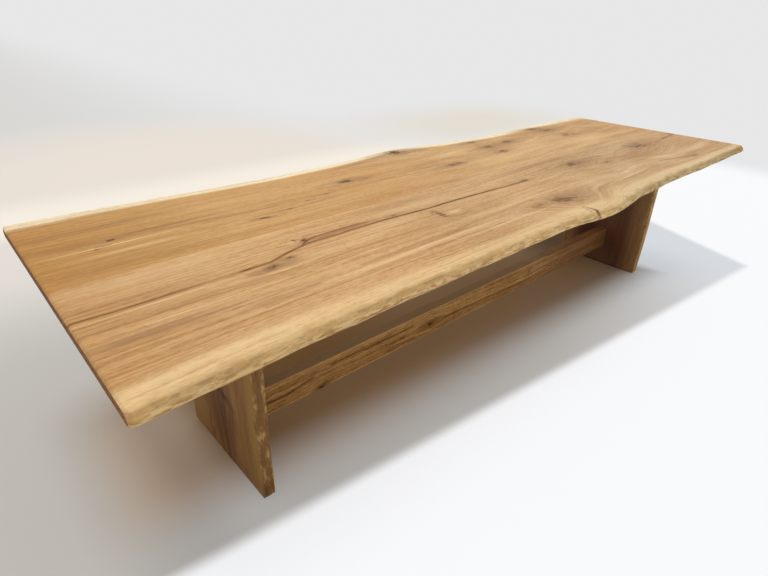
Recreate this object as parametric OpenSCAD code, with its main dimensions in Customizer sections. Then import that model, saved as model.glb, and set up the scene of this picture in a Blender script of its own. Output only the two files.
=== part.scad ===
// Live-edge plank table: two planks glued edge to edge, two plank legs and a stretcher.
// Millimetres. X runs along the table, Y from its front to its back, Z up from the floor.

/* [Table top] */
// Length of the top
top_l = 3255; // [1800:5:4000]
// Greatest width of the top, over both live edges
top_w = 1110; // [800:5:1400]
// Height of the top face above the floor
top_h = 755; // [650:5:900]
// Thickness of the two top planks
top_t = 35; // [25:1:70]
// Place of the glue line from the middle of the top, at half length
joint_y = 3; // [-100:1:100]
// How far the glue line moves back from the left end to the right end
joint_skew = 34; // [-80:1:80]
// Bevel on the arrises of the sawn ends
end_bevel = 6; // [1:0.5:10]

/* [Wane of the top] */
// Set-back of the front edge's upper arris from the full part of its wane
front_inset = 15; // [0:0.5:25]
// Set-back of the back edge's upper arris from the full part of its wane
back_inset = 6; // [0:0.5:25]
// Set-back of the lower arris, where the wane rounds under
wane_tuck = 7; // [0:0.5:15]
// Fullness of the wane halfway down
wane_belly = 4; // [0:0.5:12]
// Height of the ripples along the wane
wane_ripple = 1.6; // [0:0.1:4]

/* [Front live edge] */
// How much the front edge draws in from the left end to the right end
front_taper = 34; // [0:1:120]
// Reach of the flare at the left end
front_flare = 11; // [0:1:40]
// Length over which that flare dies out
front_flare_l = 260; // [80:5:500]
// Reach of the bulge beside the large knot
front_bulge = 33; // [0:1:60]
// Place of that bulge along the top, from the middle
front_bulge_x = 82; // [-600:1:600]
// Half length of that bulge
front_bulge_l = 175; // [80:5:400]
// Depth of the hollow right of the bulge
front_hollow = 8; // [0:1:40]
// Place of that hollow along the top, from the middle
front_hollow_x = 740; // [300:5:1400]
// Half length of that hollow
front_hollow_l = 200; // [100:5:600]

/* [Back live edge] */
// How much the back edge draws in from the left end to the right end
back_taper = 20; // [0:1:80]
// Reach of the bulge where a branch grew
back_bulge = 32; // [0:1:60]
// Place of that bulge along the top, from the middle
back_bulge_x = -50; // [-600:1:600]
// Half length of that bulge
back_bulge_l = 195; // [80:5:400]
// Depth of the hollow left of the bulge
back_hollow_left = 26; // [0:1:50]
// Place of the left hollow along the top, from the middle
back_hollow_left_x = -780; // [-1400:5:-300]
// Half length of the left hollow
back_hollow_left_l = 420; // [100:5:600]
// Depth of the hollow right of the bulge
back_hollow_right = 30; // [0:1:50]
// Place of the right hollow along the top, from the middle
back_hollow_right_x = 618; // [300:1:1400]
// Half length of the right hollow
back_hollow_right_l = 290; // [100:5:600]

/* [Legs] */
// Width of a leg plank across the table
leg_w = 492; // [300:1:700]
// Thickness of a leg plank
leg_t = 38; // [25:1:70]
// Distance from an end of the top to the outer face of its leg
leg_inset = 360; // [150:5:600]
// Place of the legs' middle from the middle of the top
leg_y = -17; // [-80:1:80]
// Depth of the waves in the legs' live edges
leg_wave = 4; // [0:0.5:10]
// How far a leg's live edge rounds off towards its faces
leg_round = 3; // [0:0.5:8]
// Bevel on the corners of the feet
foot_bevel = 10; // [2:1:20]

/* [Stretcher] */
// Height of the stretcher plank on edge
stretcher_h = 120; // [60:1:250]
// Thickness of the stretcher plank
stretcher_t = 50; // [25:1:80]
// Height of the stretcher's lower edge above the floor
stretcher_z = 110; // [30:5:300]
// Bevel along the stretcher's arrises
stretcher_bevel = 3; // [1:0.5:8]

/* [Hidden] */

// Greatest distance between two sections along a live edge of the top, and along one of a leg
top_step = 33;
leg_step = 36;
// Length of one ripple along the wane, and of the finer ripple over it
ripple_l = 270;
fine_ripple_l = 118;
fine_ripple_share = 0.6;
// Turn of the ripples from the top of the wane to its foot, in degrees
ripple_lean = 140;
// Roundness of the upper part of the wane
wane_power = 1.6;
// Part of the wane's height, from above, where it starts to round under
tuck_start = 0.66;
// Length of one wave along a leg's live edge
leg_wave_l = 540;
// Where the waves of the left and the right leg start, and of a leg's back edge after its front edge
leg_left_turn = 20;
leg_right_turn = 200;
leg_back_turn = 90;
// How far a body of live-edge wood runs past the faces that are sawn or planed off it
spare = 6;

oak_front = "#C99C66";
oak_back = "#C29A5F";
oak_leg = "#A9793F";
oak_stretcher = "#9C6C36";

half_l = top_l / 2;
half_w = top_w / 2;
under_top = top_h - top_t;

// Parts of the top's thickness, from its upper face at 0 to its underside at 1, and a little past both
wane_levels = [-0.1, 0.1, 0.32, 0.56, 0.76, 0.91, 1.06];
// Parts of a leg's thickness, from its outer face at 0 to its inner face at 1, and a little past both
leg_levels = [-0.1, 0.22, 0.5, 0.78, 1.1];

// Places of the sections along the top and up a leg, running past the sawn ends
top_steps = ceil(top_l / top_step);
top_stations = [for (i = [0:top_steps]) (top_l + 2 * spare) * (i / top_steps - 0.5)];
leg_steps = ceil(under_top / leg_step);
leg_stations = [for (i = [0:leg_steps]) (under_top + 2 * spare) * i / leg_steps - spare];

// A smooth swelling of height 1 at a place along an edge
function swell(x, at, span) = exp(-pow((x - at) / span, 2));

// Reach of each live edge of the top, before it is set to the full width
function front_reach(x) =
    front_taper * (0.5 - x / top_l)
    + front_flare * swell(x, -half_l, front_flare_l)
    + front_bulge * swell(x, front_bulge_x, front_bulge_l)
    - front_hollow * swell(x, front_hollow_x, front_hollow_l);

function back_reach(x) =
    back_taper * (0.5 - x / top_l)
    + back_bulge * swell(x, back_bulge_x, back_bulge_l)
    - back_hollow_left * swell(x, back_hollow_left_x, back_hollow_left_l)
    - back_hollow_right * swell(x, back_hollow_right_x, back_hollow_right_l);

// Relief of the wane over that reach: inset at the arris, full in the middle, tucked under, rippled
function ripple(x, v) =
    sin(360 * x / ripple_l + ripple_lean * v)
    + fine_ripple_share * sin(360 * x / fine_ripple_l - ripple_lean * v);

function wane(x, v, inset) =
    wane_belly * sin(180 * v)
    - inset * pow(max(0, 1 - v), wane_power)
    - wane_tuck * pow(max(0, v - tuck_start) / (1 - tuck_start), 2)
    + wane_ripple * ripple(x, v);

// The stations and levels that lie on the finished wane
inner_stations = [for (x = top_stations) if (abs(x) <= half_l) x];
inner_levels = [for (v = wane_levels) if (v >= 0 && v <= 1) v];

// Both live edges, and the farthest point of each
function front_edge(x, v) = front_reach(x) + wane(x, v, front_inset);
function back_edge(x, v) = back_reach(x) + wane(-x, v, back_inset);
front_most = max([for (x = inner_stations) for (v = inner_levels) front_edge(x, v)]);
back_most = max([for (x = inner_stations) for (v = inner_levels) back_edge(x, v)]);

function front_y(x, v) = -half_w + front_most - front_edge(x, v);
function back_y(x, v) = half_w - back_most + back_edge(x, v);
function glue_y(x) = joint_y + joint_skew * x / top_l;

// One section across the wood of each top plank: down its live edge and back past the glue line
first_level = wane_levels[0];
last_level = wane_levels[len(wane_levels) - 1];

function top_point(x, y, v) = [x, y, top_h - top_t * v];

function front_section(x) = concat(
    [for (v = wane_levels) top_point(x, front_y(x, v), v)],
    [top_point(x, half_w, last_level), top_point(x, half_w, first_level)]
);

function back_section(x) = concat(
    [for (v = wane_levels) top_point(x, back_y(x, v), v)],
    [top_point(x, -half_w, last_level), top_point(x, -half_w, first_level)]
);

// Set-back of a leg's live edge at a height and a place in its thickness
function leg_set_back(z, v, turn) =
    leg_wave * (0.5 - 0.5 * cos(360 * z / leg_wave_l + turn))
    + leg_round * (1 - sin(180 * v));

// The two live edges of a leg
function leg_front_y(z, v, turn) = leg_y - leg_w / 2 + leg_set_back(z, v, turn);
function leg_back_y(z, v, turn) = leg_y + leg_w / 2 - leg_set_back(z, v, turn + leg_back_turn);

// One section across the wood of a leg: along its front live edge, then along its back live edge
function leg_section(z, turn) = concat(
    [for (v = leg_levels) [leg_t * v, leg_front_y(z, v, turn), z]],
    [for (v = leg_levels) [leg_t * (1 - v), leg_back_y(z, 1 - v, turn), z]]
);

// A solid skinned over sections of equal point counts; turned_over is for sections that run the other way
module skin(sections, turned_over) {
    count = len(sections[0]);
    last = len(sections) - 1;
    points = [for (section = sections) for (point = section) point];
    first_cap = [for (i = [0:count - 1]) i];
    last_cap = [for (i = [count - 1:-1:0]) last * count + i];
    sides = [
        for (s = [0:last - 1]) for (i = [0:count - 1])
            let (a = s * count + i, b = s * count + (i + 1) % count)
                for (face = [[a, a + count, b], [b, a + count, b + count]]) face
    ];
    faces = concat([first_cap, last_cap], sides);
    polyhedron(points, turned_over ? [for (f = faces) [for (i = [len(f) - 1:-1:0]) f[i]]] : faces);
}

// The whole top as a planed board with bevelled sawn ends, wider than the finished top
module top_board() {
    b = end_bevel;
    translate([0, half_w + spare, under_top])
        rotate([90, 0, 0])
            linear_extrude(top_w + 2 * spare)
                polygon([
                    [-half_l + b, 0], [half_l - b, 0], [half_l, b], [half_l, top_t - b],
                    [half_l - b, top_t], [-half_l + b, top_t], [-half_l, top_t - b], [-half_l, b]
                ]);
}

// The side of the glue line that a plank takes: -1 for the front, 1 for the back
module glue_side(side) {
    far = half_l + spare;
    edge = side * (half_w + 2 * spare);
    translate([0, 0, under_top - spare])
        linear_extrude(top_t + 2 * spare)
            polygon([[-far, edge], [far, edge], [far, glue_y(far)], [-far, glue_y(-far)]]);
}

// Front plank of the top, with the live edge that faces the front
module top_plank_front() {
    color(oak_front)
        intersection() {
            top_board();
            glue_side(-1);
            skin([for (x = top_stations) front_section(x)], false);
        }
}

// Back plank of the top, with the live edge that faces the back
module top_plank_back() {
    color(oak_back)
        intersection() {
            top_board();
            glue_side(1);
            skin([for (x = top_stations) back_section(x)], true);
        }
}

// A leg plank on end, its outer face at X 0 and its inner face at X leg_t
module leg_plank(turn) {
    side = leg_w / 2;
    foot = side - leg_round - foot_bevel;
    intersection() {
        translate([0, leg_y, 0])
            rotate([90, 0, 90])
                linear_extrude(leg_t)
                    polygon([
                        [-foot, 0], [foot, 0], [side, foot_bevel + leg_round], [side, under_top],
                        [-side, under_top], [-side, foot_bevel + leg_round]
                    ]);
        skin([for (z = leg_stations) leg_section(z, turn)], false);
    }
}

module leg_plank_left() {
    color(oak_leg)
        translate([-half_l + leg_inset, 0, 0])
            leg_plank(leg_left_turn);
}

module leg_plank_right() {
    color(oak_leg)
        translate([half_l - leg_inset, 0, 0])
            mirror([1, 0, 0])
                leg_plank(leg_right_turn);
}

// Stretcher plank on edge between the inner faces of the legs
module stretcher_plank() {
    length = top_l - 2 * (leg_inset + leg_t);
    wide = stretcher_t / 2;
    high = stretcher_h / 2;
    b = stretcher_bevel;
    color(oak_stretcher)
        translate([-length / 2, leg_y, stretcher_z + high])
            rotate([90, 0, 90])
                linear_extrude(length)
                    polygon([
                        [-wide + b, -high], [wide - b, -high], [wide, -high + b], [wide, high - b],
                        [wide - b, high], [-wide + b, high], [-wide, high - b], [-wide, -high + b]
                    ]);
}

top_plank_front();
top_plank_back();
leg_plank_left();
leg_plank_right();
stretcher_plank();
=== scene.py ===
"""Looks of the live-edge plank table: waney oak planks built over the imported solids.

Metres. X runs along the table, Y from its front to its back, Z up from the floor.
"""

import math

import bmesh
import bpy
import numpy as np
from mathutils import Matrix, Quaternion, Vector
from mathutils.bvhtree import BVHTree


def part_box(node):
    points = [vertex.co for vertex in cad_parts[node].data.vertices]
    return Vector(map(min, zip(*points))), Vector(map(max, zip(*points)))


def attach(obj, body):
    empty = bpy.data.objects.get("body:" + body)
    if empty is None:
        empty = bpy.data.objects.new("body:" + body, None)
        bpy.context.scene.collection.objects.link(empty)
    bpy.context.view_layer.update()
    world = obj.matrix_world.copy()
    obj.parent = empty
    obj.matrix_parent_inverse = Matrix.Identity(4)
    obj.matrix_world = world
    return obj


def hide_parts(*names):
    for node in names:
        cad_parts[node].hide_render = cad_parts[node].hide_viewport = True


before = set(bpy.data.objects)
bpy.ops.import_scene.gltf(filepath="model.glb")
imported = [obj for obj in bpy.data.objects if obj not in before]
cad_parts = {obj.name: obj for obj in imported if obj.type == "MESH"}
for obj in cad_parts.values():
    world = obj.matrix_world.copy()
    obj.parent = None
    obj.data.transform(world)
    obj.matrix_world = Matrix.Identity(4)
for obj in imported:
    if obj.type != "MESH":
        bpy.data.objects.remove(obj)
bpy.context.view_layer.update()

# Spacing of the sections along the planks, and how many points run over each face of a section
TOP_STEP = 0.006
LEG_STEP = 0.006
STRETCHER_STEP = 0.008
TOP_FACE_POINTS = 56
UNDERSIDE_POINTS = 9
TOP_WANE_POINTS = 24
LEG_FACE_POINTS = 40
LEG_WANE_POINTS = 13
STRETCHER_FACE_POINTS = 14
STRETCHER_EDGE_POINTS = 7
ARRIS_POINTS = 4

# How far outside the table the rays start that look for a solid, and how near its border they are sent
CAST_FROM = 2.0
CAST_MARGIN = 0.0004
# Sections over which an outline taken from a solid is smoothed
OUTLINE_SMOOTHING = 4.0
LEG_SMOOTHING = 1.2

# Rounding of the sawn ends, of the planks' corners there and of the feet, the share of the ends' rounding on
# their underside, and the easing of the arris where the wane starts
END_ROUND = 0.009
CORNER_ROUND = 0.012
FOOT_ROUND = 0.012
UNDER_SHARE = 0.40
ARRIS_EASE = 0.0012
ARRIS_EASE_REACH = 0.007
STRETCHER_ROUND = 0.003

# Hollows in the wane, long ones, short ones and fine fibres: length, height, and depth inwards
TOP_WANE_HOLLOWS = ((0.11, 0.020, 0.0016), (0.034, 0.011, 0.0016), (0.012, 0.004, 0.0007))
LEG_WANE_HOLLOWS = ((0.10, 0.030, 0.0014), (0.030, 0.010, 0.0016), (0.011, 0.004, 0.0008))

# Turns, in degrees, at which sections lie on a rounded end, and the angle over which an edge stays sharp
ROUND_TURNS = (0, 18, 36, 54, 72)
SHARP_ANGLE = math.radians(38)

# Rows over a live edge, as shares of it and values: fullness of its hollows, and the wane's stored value
TOP_FULLNESS = ((0, 0.1, 0.9, 1), (0.35, 1, 1, 0.6))
TOP_WANE_ROW = ((0, 0.12, 1), (0.2, 0.6, 1))
LEG_FULLNESS = ((0, 0.15, 0.85, 1), (0.4, 1, 1, 0.4))
LEG_WANE_ROW = ((0, 0.06, 0.94, 1), (0.1, 0.6, 0.6, 0.1))

# Wandering of the grain, for the top by places along it, and the length and width of its waves
TOP_WANDER = ((-1.2, 0.0, 0.9), (0.004, 0.016, 0.046))
LEG_WANDER = 0.016
STRETCHER_WANDER = 0.010
TOP_WAVES = (0.33, 0.10)
LEG_WAVES = (0.25, 0.08)
STRETCHER_WAVES = (0.30, 0.05)
# Distance from a live edge over which the grain follows it
EDGE_FOLLOWING = 0.10
# How far a knot leads the grain round it, in its half sizes and in metres more, and how strongly
KNOT_REACH_ALONG = (3.2, 0.030)
KNOT_REACH_ACROSS = (2.6, 0.012)
KNOT_PULL = 0.8

# What is added to a plank's seed for the waves of its grain, and the seed of the stretcher's waves
TOP_WAVE_SEED = 7
LEG_WAVE_SEED = 9
STRETCHER_SEED = 61

# Values where no mark or crack is near, and a distance from the edge, in widths of the sapwood, past it
FAR_MARK = 99.0
FAR_CRACK = 1.0
NO_CRACK = -0.01
NO_SAP = 9.0

# A knot or a stain: place along and across the grain, half length, half width, turn in degrees, strength.
# A stain of negative strength is a light patch.
FRONT_KNOTS = (
    (-1.15, -0.216, 0.024, 0.013, 10, 1.05), (-1.085, -0.194, 0.013, 0.006, 5, 1.0),
    (-0.986, -0.116, 0.015, 0.01, 30, 1.05), (-1.012, -0.098, 0.007, 0.005, 0, 0.9),
    (-0.638, -0.13, 0.016, 0.008, 0, 0.55), (0.065, -0.149, 0.026, 0.01, 0, 0.85),
    (-0.02, -0.389, 0.09, 0.032, -8, 0.66), (-0.15, -0.372, 0.04, 0.012, 0, 0.4),
    (-0.036, -0.51, 0.028, 0.007, 92, 1.1), (0.471, -0.148, 0.085, 0.034, 0, 0.66),
    (0.641, -0.219, 0.04, 0.018, 0, 0.6), (1.102, -0.14, 0.09, 0.042, 0, 0.78),
    (1.15, -0.405, 0.034, 0.01, -15, 0.6), (1.595, -0.105, 0.026, 0.012, 0, 0.65),
)
FRONT_STAINS = (
    (-1.11, -0.222, 0.09, 0.018, 0, 0.35), (-0.85, -0.122, 0.17, 0.014, 3, 0.48),
    (-0.504, -0.213, 0.036, 0.015, 83, 1.0), (-0.508, -0.184, 0.018, 0.01, 0, 0.7),
    (-0.448, -0.222, 0.036, 0.014, 0, -0.5), (-0.45, -0.256, 0.09, 0.012, 0, 0.32),
    (0.06, -0.372, 0.19, 0.06, 0, 0.4), (0.56, -0.138, 0.19, 0.036, 0, 0.45),
    (1.12, -0.136, 0.16, 0.06, 0, 0.35), (0.25, -0.44, 0.12, 0.03, 0, -0.35),
    (0.88, -0.25, 0.2, 0.04, 0, 0.25), (0.53, -0.53, 0.026, 0.012, 0, 0.5),
    (0.44, -0.53, 0.016, 0.01, 0, 0.45), (-0.08, -0.545, 0.04, 0.014, 0, 0.5),
)
BACK_KNOTS = (
    (-1.414, 0.219, 0.012, 0.007, 15, 1.2), (-1.463, 0.173, 0.009, 0.005, 0, 0.9),
    (-0.985, 0.11, 0.017, 0.007, -15, 1.2), (-0.872, 0.132, 0.011, 0.005, 0, 0.75),
    (-0.776, 0.166, 0.009, 0.005, 0, 0.75), (-0.679, 0.188, 0.013, 0.006, 0, 0.7),
    (-0.526, 0.267, 0.032, 0.018, 0, 1.45), (-0.047, 0.468, 0.052, 0.028, 0, 1.1),
    (0.019, 0.191, 0.08, 0.024, 0, 0.7), (0.414, 0.43, 0.052, 0.028, 0, 0.7),
    (0.415, 0.307, 0.05, 0.026, 0, 0.75), (0.409, 0.201, 0.048, 0.026, 0, 0.75),
    (0.611, 0.318, 0.054, 0.028, 0, 0.85), (1.01, 0.462, 0.066, 0.026, -8, 0.95),
    (1.054, 0.382, 0.064, 0.028, 0, 0.9), (1.054, 0.228, 0.08, 0.036, 0, 0.5),
    (1.45, 0.33, 0.06, 0.024, 0, 0.25),
)
BACK_STAINS = (
    (-1.25, 0.236, 0.22, 0.012, 0, 0.4), (-0.93, 0.137, 0.09, 0.007, 0, 0.4),
    (-0.7, 0.188, 0.08, 0.007, 0, 0.35), (-0.6, 0.262, 0.045, 0.009, 0, -0.5),
    (-0.44, 0.258, 0.07, 0.024, 0, 0.3), (0.07, 0.462, 0.12, 0.03, 0, 0.4),
    (-0.293, -0.004, 0.06, 0.012, 0, -0.55), (-0.17, 0.02, 0.07, 0.022, 0, 0.25),
    (0.45, 0.3, 0.16, 0.09, 0, 0.3), (0.65, 0.31, 0.1, 0.03, 0, 0.12),
    (1.06, 0.38, 0.18, 0.1, 0, 0.35), (1.35, 0.2, 0.22, 0.08, 0, 0.25),
)

# Width of the sapwood along each live edge: places along the plank, then widths
FRONT_SAP = (
    (-1.63, -1.3, -0.5, 0.0, 0.35, 0.9, 1.63),
    (0.06, 0.062, 0.042, 0.058, 0.06, 0.04, 0.036),
)
BACK_SAP = ((-1.63, -1.2, -0.4, 0.5, 1.63), (0.054, 0.048, 0.04, 0.044, 0.046))

# Long streaks of the grain, given like stains
FRONT_STREAKS = (
    (-1.42, -0.06, 0.26, 0.034, 0, -0.22), (-1.3, -0.122, 0.33, 0.01, 0, -0.24),
    (-1.47, -0.165, 0.22, 0.022, 0, 0.2), (-1.43, -0.212, 0.27, 0.007, 0, -0.4),
    (-1.47, -0.25, 0.23, 0.02, 0, 0.2), (-1.38, -0.292, 0.3, 0.005, 0, -0.55),
    (-1.5, -0.325, 0.19, 0.024, 0, 0.5), (-1.15, -0.348, 0.32, 0.018, 0, 0.22),
    (-1.25, -0.388, 0.4, 0.005, 0, -0.3), (-1.22, -0.372, 0.14, 0.012, 0, 0.3),
    (-0.93, -0.212, 0.36, 0.014, 0, -0.28), (-0.86, -0.262, 0.4, 0.008, 0, 0.3),
    (-0.8, -0.345, 0.48, 0.007, 0, 0.45), (-0.74, -0.372, 0.48, 0.006, 0, -0.6),
    (-0.7, -0.395, 0.48, 0.006, 0, 0.4), (-0.3, -0.4, 0.3, 0.006, 0, -0.55),
    (-0.28, -0.3, 0.35, 0.012, 0, -0.3), (-0.56, -0.1, 0.26, 0.022, 0, -0.25),
    (-0.47, -0.052, 0.22, 0.016, 0, 0.28), (-0.68, -0.18, 0.16, 0.014, 0, -0.28),
    (0.52, -0.39, 0.25, 0.01, 2, -0.45), (0.3, -0.06, 0.3, 0.03, 0, 0.22),
    (0.9, -0.06, 0.26, 0.03, 0, 0.25), (0.98, -0.31, 0.13, 0.016, -10, -0.45),
    (1.35, -0.15, 0.26, 0.012, 2, 0.3), (1.3, -0.33, 0.3, 0.04, 0, -0.2),
)
BACK_STREAKS = (
    (-1.43, 0.225, 0.27, 0.022, 0, 0.45), (-1.42, 0.183, 0.25, 0.006, 0, -0.65),
    (-1.37, 0.13, 0.18, 0.01, 0, -0.45), (-1.43, 0.06, 0.28, 0.05, 0, 0.16),
    (-1.05, 0.195, 0.3, 0.01, -4, 0.4), (-0.74, 0.142, 0.24, 0.01, 3, 0.35),
    (-1.42, 0.34, 0.33, 0.034, 0, 0.34), (-0.33, 0.44, 0.24, 0.026, 5, 0.38),
    (-0.42, 0.2, 0.3, 0.01, 0, 0.25), (-0.12, 0.205, 0.26, 0.009, 0, -0.4),
    (0.12, 0.33, 0.15, 0.04, 0, -0.3), (0.5, 0.13, 0.35, 0.022, 0, -0.25),
    (0.75, 0.26, 0.12, 0.02, 8, -0.35), (0.78, 0.4, 0.16, 0.04, 6, 0.22),
    (0.7, 0.05, 0.26, 0.03, 0, 0.25), (1.18, 0.15, 0.24, 0.05, 3, -0.25),
    (1.44, 0.4, 0.14, 0.04, 0, 0.32), (1.3, 0.04, 0.26, 0.024, 0, 0.2),
)

# Cracks and checks: places along the grain, then across it, then half widths, negative where one has ended
HEART_CRACK = (
    (-1.64, -1.5, -1.386, -1.3, -1.235, -1.215, -1.14, -1.07,
     -0.99, -0.9, -0.72, -0.5, -0.36, -0.12, -0.06, 0.085),
    (-0.19, -0.195, -0.191, -0.191, -0.189, -0.189, -0.187, -0.163,
     -0.143, -0.142, -0.14, -0.152, -0.15, -0.153, -0.155, -0.157),
    (0.0012, 0.0008, 0.001, 0.0003, 0.0006, 0.003, 0.0034, 0.0032,
     0.0026, 0.0016, 0.0026, 0.0036, 0.0032, 0.0024, 0.0014, 0.0014),
)
FRONT_CHECKS = (
    ((-1.01, -0.985, -0.96, -0.88, -0.78, -0.7),
     (-0.142, -0.128, -0.116, -0.113, -0.114, -0.134),
     (0.0024, 0.003, 0.0018, 0.0014, 0.0014, -0.001)),
    ((0.86, 0.9, 1.05, 1.17, 1.19),
     (-0.335, -0.345, -0.385, -0.425, -0.43),
     (-0.001, 0.001, 0.0014, 0.0016, -0.001)),
    ((1.38, 1.4, 1.5, 1.64), (-0.146, -0.143, -0.132, -0.12), (-0.001, 0.0016, 0.0018, 0.0034)),
)
BACK_CHECKS = (
    ((-1.0, -0.99, -0.97, -0.96), (0.114, 0.112, 0.108, 0.106), (-0.001, 0.0024, 0.002, -0.001)),
    ((-0.562, -0.548, -0.512, -0.5), (0.268, 0.268, 0.266, 0.266), (-0.001, 0.006, 0.005, -0.001)),
    ((-1.43, -1.424, -1.406, -1.398), (0.217, 0.218, 0.221, 0.222), (-0.001, 0.0034, 0.0034, -0.001)),
)

# Where the grain swings aside: place along and across, reach along and across, swing
FRONT_SWERVES = (
    (0.01, -0.45, 0.17, 0.1, 0.085),
    (0.52, -0.36, 0.13, 0.06, 0.034),
    (0.33, -0.215, 0.11, 0.05, -0.026),
    (0.8, -0.18, 0.12, 0.055, 0.028),
    (1.05, -0.29, 0.15, 0.06, 0.032),
    (1.33, -0.21, 0.12, 0.055, -0.028),
)
BACK_SWERVES = (
    (0.22, 0.26, 0.12, 0.05, 0.026),
    (0.53, 0.23, 0.11, 0.05, -0.03),
    (0.8, 0.33, 0.14, 0.06, 0.034),
    (0.86, 0.12, 0.13, 0.05, -0.026),
    (1.28, 0.29, 0.15, 0.06, -0.03),
)

# The legs' marks, places along the grain being heights, and the width of their sapwood
LEFT_LEG_KNOTS = (
    (0.047, 0.063, 0.01, 0.006, 0, 0.8), (0.291, -0.044, 0.022, 0.011, 68, 1.6),
    (0.56, 0.11, 0.018, 0.01, 0, 0.7),
)
LEFT_LEG_STAINS = (
    (0.18, -0.03, 0.28, 0.085, -3, 0.8), (0.55, 0.1, 0.12, 0.03, 0, 0.3),
)
LEFT_LEG_STREAKS_AND_SHADE = (
    (0.33, -0.11, 0.12, 0.03, 8, -0.2), (0.15, -0.045, 0.18, 0.008, 0, 0.6),
    (0.2, 0.06, 0.26, 0.04, 0, 0.35), (0.25, -0.19, 0.3, 0.01, 0, 0.25),
    # Painted shade: this last streak darkens the leg's top, just under the tabletop
    (0.68, -0.18, 0.09, 0.11, 0, 0.28),
)
LEFT_LEG_CHECKS = (
    ((0.255, 0.275, 0.3, 0.335, 0.35),
     (-0.038, -0.038, -0.042, -0.058, -0.062),
     (-0.001, 0.003, 0.006, 0.005, -0.001)),
)
RIGHT_LEG_KNOTS = (
    (0.18, 0.04, 0.02, 0.01, 0, 0.8), (0.52, -0.09, 0.016, 0.008, 0, 0.7),
)
RIGHT_LEG_STAINS = (
    (0.18, 0.04, 0.12, 0.028, 0, 0.35), (0.48, -0.09, 0.14, 0.02, 0, 0.3),
)
RIGHT_LEG_STREAKS = (
    (0.3, 0.06, 0.26, 0.03, 0, 0.25),
)
LEG_SAP = 0.070

STRETCHER_KNOTS = (
    (-0.892, 0.117, 0.026, 0.012, 20, 1.2), (-0.315, 0.163, 0.022, 0.012, 0, 1.1),
    (0.42, 0.19, 0.014, 0.008, 0, 0.55),
)
STRETCHER_STAINS = (
    (-0.86, 0.12, 0.07, 0.012, 0, 0.4), (-0.29, 0.165, 0.09, 0.016, 0, 0.35),
    (0.3, 0.148, 0.3, 0.008, -2, 0.4), (0.9, 0.128, 0.25, 0.008, -2, 0.4),
)
# Painted light on the stretcher, given like stains: the first is painted shade darkening its right part
# towards the leg,
# the two light ones are painted highlights along its top and bottom arrises
STRETCHER_SHADE_AND_HIGHLIGHTS = (
    (1.25, 0.17, 0.95, 0.2, 0, 0.78), (-0.3, 0.111, 1.15, 0.007, 0, -0.6),
    (-0.3, 0.229, 1.15, 0.006, 0, -0.6),
)
STRETCHER_CHECKS = (
    ((-1.135, -1.113, -1.042, -0.949, -0.9),
     (0.168, 0.166, 0.164, 0.179, 0.186),
     (0.0026, 0.005, 0.005, 0.002, -0.001)),
    ((-1.225, -1.215, -1.18, -1.14, -1.12),
     (0.139, 0.139, 0.141, 0.144, 0.146),
     (-0.001, 0.0028, 0.003, 0.0018, -0.001)),
    ((-0.86, -0.84, -0.64, -0.42, -0.4),
     (0.204, 0.202, 0.196, 0.19, 0.189),
     (-0.001, 0.0014, 0.002, 0.001, -0.001)),
    ((-0.26, -0.23, 0.184, 0.735, 1.15, 1.196),
     (0.167, 0.166, 0.152, 0.134, 0.114, 0.111),
     (-0.001, 0.0008, 0.0008, 0.0009, 0.0008, -0.001)),
)


# Geometry


def smooth_along(values, sections):
    """Values smoothed over the sections, with their slope kept at both ends."""
    reach = int(3 * sections) + 1
    weights = np.exp(-0.5 * (np.arange(-reach, reach + 1) / sections) ** 2)
    weights /= weights.sum()
    padded = np.pad(values, ((reach, reach), (0, 0)), mode="reflect", reflect_type="odd")
    return np.stack([np.convolve(column, weights, "valid") for column in padded.T], axis=1)


def lattice_noise(u, v, seed):
    """Smooth noise from 0 to 1 over two coordinates given in cells."""
    u = u - u.min()
    v = v - v.min()
    cells = np.random.default_rng(seed).uniform(0, 1, (int(u.max()) + 2, int(v.max()) + 2))
    i = u.astype(int)
    j = v.astype(int)
    a = u - i
    b = v - j
    a = a * a * (3 - 2 * a)
    b = b * b * (3 - 2 * b)
    low = cells[i, j] * (1 - a) + cells[i + 1, j] * a
    high = cells[i, j + 1] * (1 - a) + cells[i + 1, j + 1] * a
    return low * (1 - b) + high * b


def hollows(along, down, layers, seed):
    """Depth of the hollows in a live edge, from several layers of noise."""
    total = np.zeros(np.broadcast(along, down).shape)
    for number, (length, height, depth) in enumerate(layers):
        total += depth * lattice_noise(along / length + 0 * down, down / height + 0 * along, seed + number)
    return total


def solid_tree(node):
    """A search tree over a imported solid's faces."""
    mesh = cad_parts[node].data
    return BVHTree.FromPolygons([v.co for v in mesh.vertices], [p.vertices for p in mesh.polygons])


def surface_y(tree, x, z, side):
    """Y of a solid's surface as met from the front, side -1, or from the back, side 1."""
    return tree.ray_cast(Vector((x, side * CAST_FROM, z)), Vector((0, -side, 0)))[0].y


def rounded_stations(low, high, step, radius):
    """Places from low to high, close together at the rounded ends, and the rounding's depth at each."""
    start = low + radius * (1 - np.cos(np.radians(ROUND_TURNS)))
    inner = np.linspace(low + radius, high - radius, int((high - low) / step))
    stations = np.concatenate([start, inner, (low + high) - start[::-1]])
    inset = np.minimum(stations - low, high - stations).clip(0, radius)
    depth = radius - np.sqrt(np.maximum(0, radius**2 - (radius - inset) ** 2))
    return stations, depth


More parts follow.
